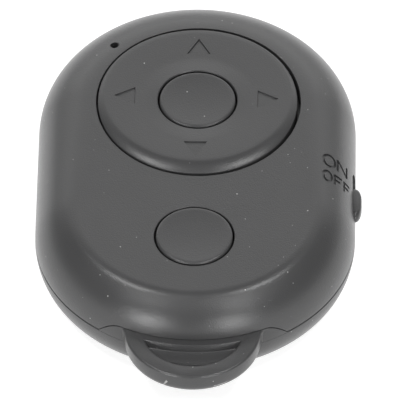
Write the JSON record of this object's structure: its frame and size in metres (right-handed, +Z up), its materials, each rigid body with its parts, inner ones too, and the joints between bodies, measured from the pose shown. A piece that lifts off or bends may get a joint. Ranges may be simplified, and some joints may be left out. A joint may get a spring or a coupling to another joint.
{
  "type": "wireless camera shutter remote",
  "caption": "Pocket wireless shutter remote: round-ended two-part case with a four-way ring around a centre button, a shutter button, a side power switch and a strap loop.",
  "frame": {"origin": "centre of the flat underside of the case", "axes": "+X to the power switch side, +Y to the direction ring end, +Z up out of the keys"},
  "size_m": [0.0387, 0.0605, 0.0132],
  "materials": {
    "case_plastic": "finely spark-eroded dark grey ABS",
    "key_plastic": "smooth matte dark grey ABS",
    "frame_plastic": "moulded acetal",
    "board_laminate": "green solder mask",
    "spring_steel": "stamped stainless",
    "switch_can": "plated sheet",
    "switch_plastic": "moulded nylon",
    "chip_resin": "moulded epoxy",
    "ceramic": "fired ceramic",
    "led_resin": "clear resin over white",
    "clear_plastic": "clear polycarbonate",
    "contact_metal": "gold-flashed spring bronze",
    "cell_steel": "nickel-plated steel",
    "screw_steel": "zinc-plated steel"
  },
  "bodies": {
    "case": {"top_shell": "case_plastic", "bottom_shell": "case_plastic", "circuit_board": "board_laminate", "dome_up": "spring_steel", "dome_down": "spring_steel", "dome_left": "spring_steel", "dome_right": "spring_steel", "centre_switch": "switch_can", "shutter_switch": "switch_can", "slide_switch": "switch_can", "radio_chip": "chip_resin", "crystal": "switch_can", "chip_capacitors": "ceramic", "status_led": "led_resin", "light_pipe": "clear_plastic", "positive_contact": "contact_metal", "negative_contact": "contact_metal", "coin_cell": "cell_steel", "case_screws": "screw_steel", "board_screws": "screw_steel"},
    "rocker": {"rocker_frame": "frame_plastic"},
    "ring": {"direction_ring": "key_plastic"},
    "centre_key": {"centre_button": "key_plastic"},
    "centre_switch_plunger": {"centre_plunger": "switch_plastic"},
    "shutter_key": {"shutter_button": "key_plastic"},
    "shutter_switch_plunger": {"shutter_plunger": "switch_plastic"},
    "power": {"power_knob": "key_plastic", "slide_lever": "switch_plastic"},
    "door": {"battery_door": "case_plastic"}
  },
  "joints": [
    {"name": "ring_rock_up_down", "type": "hinge", "parent": "case", "child": "rocker", "pos_m": [0, 0.00764, 0.00845], "axis": [1, 0, 0], "range_deg": [-1.7, 1.7], "stiffness_Nm_per_rad": 0.45, "deforming": ["dome_up", "dome_down"]},
    {"name": "ring_rock_left_right", "type": "hinge", "parent": "rocker", "child": "ring", "pos_m": [0, 0.00764, 0.00845], "axis": [0, 0.9995, 0.0332], "range_deg": [-1.7, 1.7], "stiffness_Nm_per_rad": 0.45, "deforming": ["dome_left", "dome_right"]},
    {"name": "centre_press", "type": "slide", "parent": "case", "child": "centre_key", "axis": [0, 0.0332, -0.9995], "range_m": [0, 0.0003], "stiffness_N_per_m": 5000},
    {"name": "centre_plunger_press", "type": "slide", "parent": "case", "child": "centre_switch_plunger", "axis": [0, 0.0332, -0.9995], "range_m": [0, 0.0003]},
    {"name": "shutter_press", "type": "slide", "parent": "case", "child": "shutter_key", "axis": [0, 0.0332, -0.9995], "range_m": [0, 0.0003], "stiffness_N_per_m": 5000},
    {"name": "shutter_plunger_press", "type": "slide", "parent": "case", "child": "shutter_switch_plunger", "axis": [0, 0.0332, -0.9995], "range_m": [0, 0.0003]},
    {"name": "power_slide", "type": "slide", "parent": "case", "child": "power", "axis": [0, 0.9995, 0.0332], "range_m": [0, 0.002]},
    {"name": "door_twist", "type": "hinge", "parent": "case", "child": "door", "pos_m": [0, 0.0114, 0], "axis": [0, 0, -1], "range_deg": [0, 25]}
  ],
  "couplings": [
    {"joint": "centre_plunger_press", "follows": "centre_press", "ratio": 1},
    {"joint": "shutter_plunger_press", "follows": "shutter_press", "ratio": 1}
  ]
}
